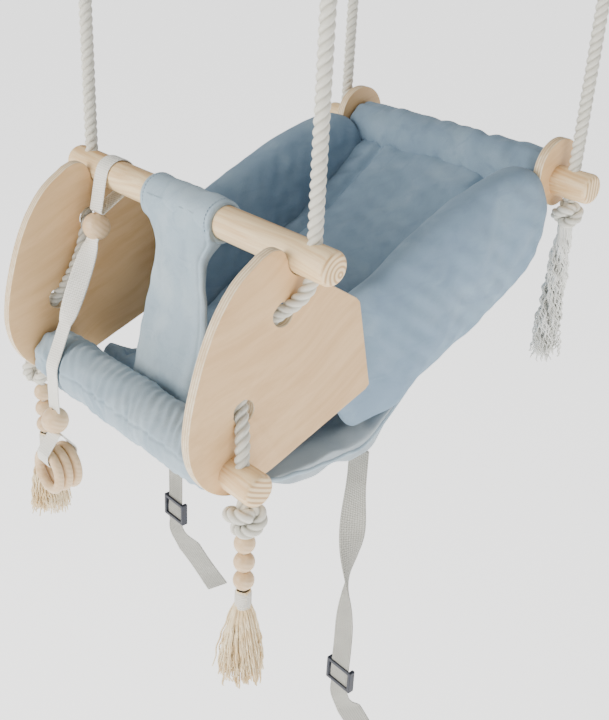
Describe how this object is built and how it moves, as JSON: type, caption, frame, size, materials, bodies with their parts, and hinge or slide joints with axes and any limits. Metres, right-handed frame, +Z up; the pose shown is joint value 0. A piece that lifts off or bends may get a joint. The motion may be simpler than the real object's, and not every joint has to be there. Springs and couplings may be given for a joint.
{
  "type": "toddler bucket swing",
  "caption": "Hanging toddler swing: plywood sides, wooden dowels, padded cloth seat with a crotch flap on a lifting handlebar, tasselled ropes.",
  "frame": {"origin": "midway between the centres of the four hanging rings", "axes": "+Z up, -Y the way the child faces, +X towards the child's left side"},
  "size_m": [0.3564, 0.4643, 0.9035],
  "materials": {
    "steel": "satin steel",
    "turned_beech": "smooth turned wood, unpainted",
    "black_plastic": "moulded black",
    "grey_webbing": "woven webbing",
    "cotton_tape": "flat woven cotton",
    "foam": "open foam",
    "birch_plywood": "birch ply, sanded and oiled",
    "pine": "pale pine, sanded",
    "cotton_rope": "twisted cotton",
    "velvet": "dusty blue velvet"
  },
  "bodies": {
    "rings": {"near_front_ring": "steel", "near_rear_ring": "steel", "far_front_ring": "steel", "far_rear_ring": "steel"},
    "front_ropes": {"near_front_rope": "cotton_rope", "near_front_rope_eye": "cotton_rope", "far_front_rope": "cotton_rope", "far_front_rope_eye": "cotton_rope"},
    "rear_ropes": {"near_rear_rope": "cotton_rope", "near_rear_rope_eye": "cotton_rope", "far_rear_rope": "cotton_rope", "far_rear_rope_eye": "cotton_rope"},
    "seat": {"front_dowel": "pine", "rear_dowel": "pine", "front_roll_cover": "velvet", "front_roll_foam": "foam", "rear_roll_cover": "velvet", "rear_roll_foam": "foam", "seat_pad": "velvet", "seat_base_cloth": "velvet", "crotch_flap": "velvet", "near_side_panel": "birch_plywood", "near_rear_disc": "birch_plywood", "near_side_wall": "velvet", "near_front_rope_lower": "cotton_rope", "near_front_knot": "cotton_rope", "near_rear_rope_lower": "cotton_rope", "near_rear_knot": "cotton_rope", "far_side_panel": "birch_plywood", "far_rear_disc": "birch_plywood", "far_side_wall": "velvet", "far_front_rope_lower": "cotton_rope", "far_front_knot": "cotton_rope", "far_rear_rope_lower": "cotton_rope", "far_rear_knot": "cotton_rope"},
    "handlebar": {"handlebar": "pine", "flap_sleeve": "velvet", "toy_bar_loop": "cotton_tape", "toy_upper_bead": "turned_beech", "toy_upper_tape": "cotton_tape"},
    "toy": {"toy_lower_tape": "cotton_tape", "toy_lower_bead": "turned_beech", "toy_ring_loop": "cotton_tape"},
    "toy_ring_1": {"toy_ring_1": "turned_beech"},
    "toy_ring_2": {"toy_ring_2": "turned_beech"},
    "toy_ring_3": {"toy_ring_3": "turned_beech"},
    "near_tassel": {"near_tassel_bead_1": "turned_beech", "near_tassel_bead_2": "turned_beech", "near_tassel_bead_3": "turned_beech", "near_front_tassel": "cotton_rope"},
    "near_fringe": {"near_rear_fringe": "steel"},
    "near_strap": {"near_webbing_strap": "grey_webbing"},
    "near_buckle": {"near_strap_buckle": "black_plastic"},
    "far_tassel": {"far_tassel_bead_1": "turned_beech", "far_tassel_bead_2": "turned_beech", "far_tassel_bead_3": "turned_beech", "far_front_tassel": "cotton_rope"},
    "far_fringe": {"far_rear_fringe": "steel"},
    "far_strap": {"far_webbing_strap": "grey_webbing"},
    "far_buckle": {"far_strap_buckle": "black_plastic"}
  },
  "joints": [
    {"name": "front_sway", "type": "hinge", "parent": "rings", "child": "front_ropes", "pos_m": [0, -0.1635, -0.017], "axis": [1, 0, 0], "range_deg": [-20, 20]},
    {"name": "seat_level", "type": "hinge", "parent": "front_ropes", "child": "seat", "pos_m": [0, -0.1635, -0.177], "axis": [1, 0, 0], "range_deg": [-20, 20]},
    {"name": "rear_flex", "type": "hinge", "parent": "seat", "child": "rear_ropes", "pos_m": [0, 0.1635, -0.177], "axis": [1, 0, 0], "range_deg": [-20, 20]},
    {"name": "handlebar_lift", "type": "slide", "parent": "seat", "child": "handlebar", "axis": [0, 0, 1], "range_m": [0, 0.018], "deforming": ["crotch_flap"]},
    {"name": "toy_swing", "type": "hinge", "parent": "handlebar", "child": "toy", "pos_m": [-0.086, -0.2537, -0.4215], "axis": [1, 0, 0], "range_deg": [-30, 0]},
    {"name": "toy_ring_spin_1", "type": "hinge", "parent": "toy", "child": "toy_ring_1", "pos_m": [-0.086, -0.2633, -0.519], "axis": [0, 1, 0], "continuous": true},
    {"name": "toy_ring_spin_2", "type": "hinge", "parent": "toy", "child": "toy_ring_2", "pos_m": [-0.086, -0.2537, -0.519], "axis": [0, 1, 0], "continuous": true},
    {"name": "toy_ring_spin_3", "type": "hinge", "parent": "toy", "child": "toy_ring_3", "pos_m": [-0.086, -0.2441, -0.519], "axis": [0, 1, 0], "continuous": true},
    {"name": "near_tassel_swing", "type": "hinge", "parent": "seat", "child": "near_tassel", "pos_m": [0.1568, -0.227, -0.4679], "axis": [1, 0, 0], "range_deg": [-25, 25]},
    {"name": "near_fringe_swing", "type": "hinge", "parent": "seat", "child": "near_fringe", "pos_m": [0.151, 0.1635, -0.2954], "axis": [1, 0, 0], "range_deg": [-25, 25]},
    {"name": "near_strap_swing", "type": "hinge", "parent": "seat", "child": "near_strap", "pos_m": [0.1165, -0.0595, -0.4725], "axis": [1, 0, 0], "range_deg": [-25, 25]},
    {"name": "near_buckle_slide", "type": "slide", "parent": "near_strap", "child": "near_buckle", "axis": [0, 0, 1], "range_m": [0, 0.05]},
    {"name": "far_tassel_swing", "type": "hinge", "parent": "seat", "child": "far_tassel", "pos_m": [-0.1568, -0.227, -0.4679], "axis": [1, 0, 0], "range_deg": [-25, 25]},
    {"name": "far_fringe_swing", "type": "hinge", "parent": "seat", "child": "far_fringe", "pos_m": [-0.151, 0.1635, -0.2954], "axis": [1, 0, 0], "range_deg": [-25, 25]},
    {"name": "far_strap_swing", "type": "hinge", "parent": "seat", "child": "far_strap", "pos_m": [-0.1165, -0.0975, -0.4725], "axis": [1, 0, 0], "range_deg": [-25, 25]},
    {"name": "far_buckle_slide", "type": "slide", "parent": "far_strap", "child": "far_buckle", "axis": [0, 0, 1], "range_m": [0, 0.05]}
  ],
  "couplings": [
    {"joint": "seat_level", "follows": "front_sway", "ratio": -1},
    {"joint": "rear_flex", "follows": "front_sway", "ratio": 1}
  ]
}
